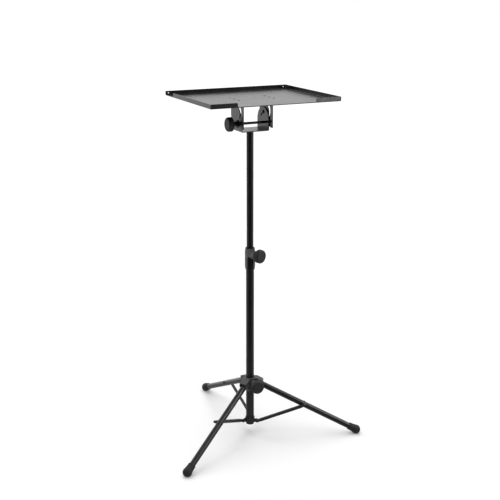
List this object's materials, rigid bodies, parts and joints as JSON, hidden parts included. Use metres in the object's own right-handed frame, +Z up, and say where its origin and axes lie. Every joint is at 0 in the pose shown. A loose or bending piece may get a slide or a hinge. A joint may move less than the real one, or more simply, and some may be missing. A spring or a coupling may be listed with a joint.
{
  "type": "portable projector stand",
  "caption": "Folding floor stand: a lipped rectangular tray that tilts on a saddle, on a telescopic column with a clamp, over a folding tripod with rubber feet.",
  "frame": {"origin": "on the floor under the column's axis", "axes": "+Z up the column; the tray's front faces -Y and its width runs along X"},
  "size_m": [0.7369, 0.6541, 1.2923],
  "materials": {
    "black_steel": "satin powder coat",
    "black_plastic": "fine moulded texture",
    "black_hardware": "black oxide",
    "black_rubber": "matte"
  },
  "bodies": {
    "column": {"lower_tube": "black_steel", "tube_plug": "black_plastic", "strut_bracket": "black_plastic", "strut_base_pins": "black_hardware", "height_clamp": "black_plastic"},
    "clamp_liner": {"clamp_liner": "black_plastic"},
    "mast": {"upper_tube": "black_steel", "tilt_saddle": "black_steel", "tilt_rod": "black_hardware", "tilt_rod_nut": "black_hardware"},
    "tray": {"tray_pan": "black_steel", "tray_ear_left": "black_steel", "tray_ear_right": "black_steel", "guide_bolt": "black_hardware"},
    "tilt_knob": {"tilt_knob": "black_plastic"},
    "height_knob": {"height_knob": "black_plastic", "height_knob_stud": "black_hardware"},
    "hub": {"leg_hub": "black_plastic", "hub_pins": "black_hardware"},
    "hub_knob": {"hub_knob": "black_plastic", "hub_knob_stud": "black_hardware"},
    "leg_back": {"leg_knuckle_back": "black_plastic", "leg_tube_back": "black_steel", "strut_pin_back": "black_hardware", "foot_back": "black_rubber"},
    "strut_back": {"strut_back": "black_steel"},
    "leg_front_right": {"leg_knuckle_front_right": "black_plastic", "leg_tube_front_right": "black_steel", "strut_pin_front_right": "black_hardware", "foot_front_right": "black_rubber"},
    "strut_front_right": {"strut_front_right": "black_steel"},
    "leg_front_left": {"leg_knuckle_front_left": "black_plastic", "leg_tube_front_left": "black_steel", "strut_pin_front_left": "black_hardware", "foot_front_left": "black_rubber"},
    "strut_front_left": {"strut_front_left": "black_steel"}
  },
  "joints": [
    {"name": "strut_back_pivot", "type": "hinge", "parent": "column", "child": "strut_back", "pos_m": [-0.0009, 0.02798, 0.04982], "axis": [0.9995, 0.0323, 0], "range_deg": [0, 60]},
    {"name": "leg_back_pivot", "type": "hinge", "parent": "strut_back", "child": "leg_back", "pos_m": [-0.00669, 0.20724, 0.11975], "axis": [0.9995, 0.0323, 0], "range_deg": [-120, 0]},
    {"name": "leg_fold", "type": "hinge", "parent": "column", "child": "strut_front_right", "pos_m": [0.02469, -0.01321, 0.04982], "axis": [-0.4718, -0.8817, 0], "range_deg": [0, 60]},
    {"name": "leg_front_right_pivot", "type": "hinge", "parent": "strut_front_right", "child": "leg_front_right", "pos_m": [0.18282, -0.09782, 0.11975], "axis": [-0.4718, -0.8817, 0], "range_deg": [-120, 0]},
    {"name": "strut_front_left_pivot", "type": "hinge", "parent": "column", "child": "strut_front_left", "pos_m": [-0.02378, -0.01478, 0.04982], "axis": [-0.5277, 0.8494, 0], "range_deg": [0, 60]},
    {"name": "leg_front_left_pivot", "type": "hinge", "parent": "strut_front_left", "child": "leg_front_left", "pos_m": [-0.17613, -0.10942, 0.11975], "axis": [-0.5277, 0.8494, 0], "range_deg": [-120, 0]},
    {"name": "hub_pivot", "type": "hinge", "parent": "leg_front_right", "child": "hub", "pos_m": [0.02469, -0.01321, 0.18967], "axis": [-0.4718, -0.8817, 0], "range_deg": [0, 60]},
    {"name": "tray_swivel", "type": "hinge", "parent": "column", "child": "clamp_liner", "pos_m": [0, 0, 0.73382], "axis": [0, 0, 1], "continuous": true},
    {"name": "mast_slide", "type": "slide", "parent": "clamp_liner", "child": "mast", "axis": [0, 0, 1], "range_m": [-0.4, 0.08]},
    {"name": "tray_tilt", "type": "hinge", "parent": "mast", "child": "tray", "pos_m": [0, -0.018, 1.19232], "axis": [1, 0, 0], "range_deg": [-30, 10]},
    {"name": "tilt_knob_turn", "type": "hinge", "parent": "mast", "child": "tilt_knob", "pos_m": [-0.057, -0.018, 1.19232], "axis": [-1, 0, 0], "continuous": true},
    {"name": "height_knob_turn", "type": "hinge", "parent": "column", "child": "height_knob", "pos_m": [0, 0, 0.71082], "axis": [0.3827, -0.9239, 0], "continuous": true},
    {"name": "hub_knob_turn", "type": "hinge", "parent": "hub", "child": "hub_knob", "pos_m": [0, 0, 0.20667], "axis": [0.0323, -0.9995, 0], "continuous": true}
  ],
  "couplings": [
    {"joint": "strut_back_pivot", "follows": "leg_fold", "ratio": 1},
    {"joint": "leg_back_pivot", "follows": "leg_fold", "ratio": -2},
    {"joint": "leg_front_right_pivot", "follows": "leg_fold", "ratio": -2},
    {"joint": "strut_front_left_pivot", "follows": "leg_fold", "ratio": 1},
    {"joint": "leg_front_left_pivot", "follows": "leg_fold", "ratio": -2},
    {"joint": "hub_pivot", "follows": "leg_fold", "ratio": 1}
  ]
}
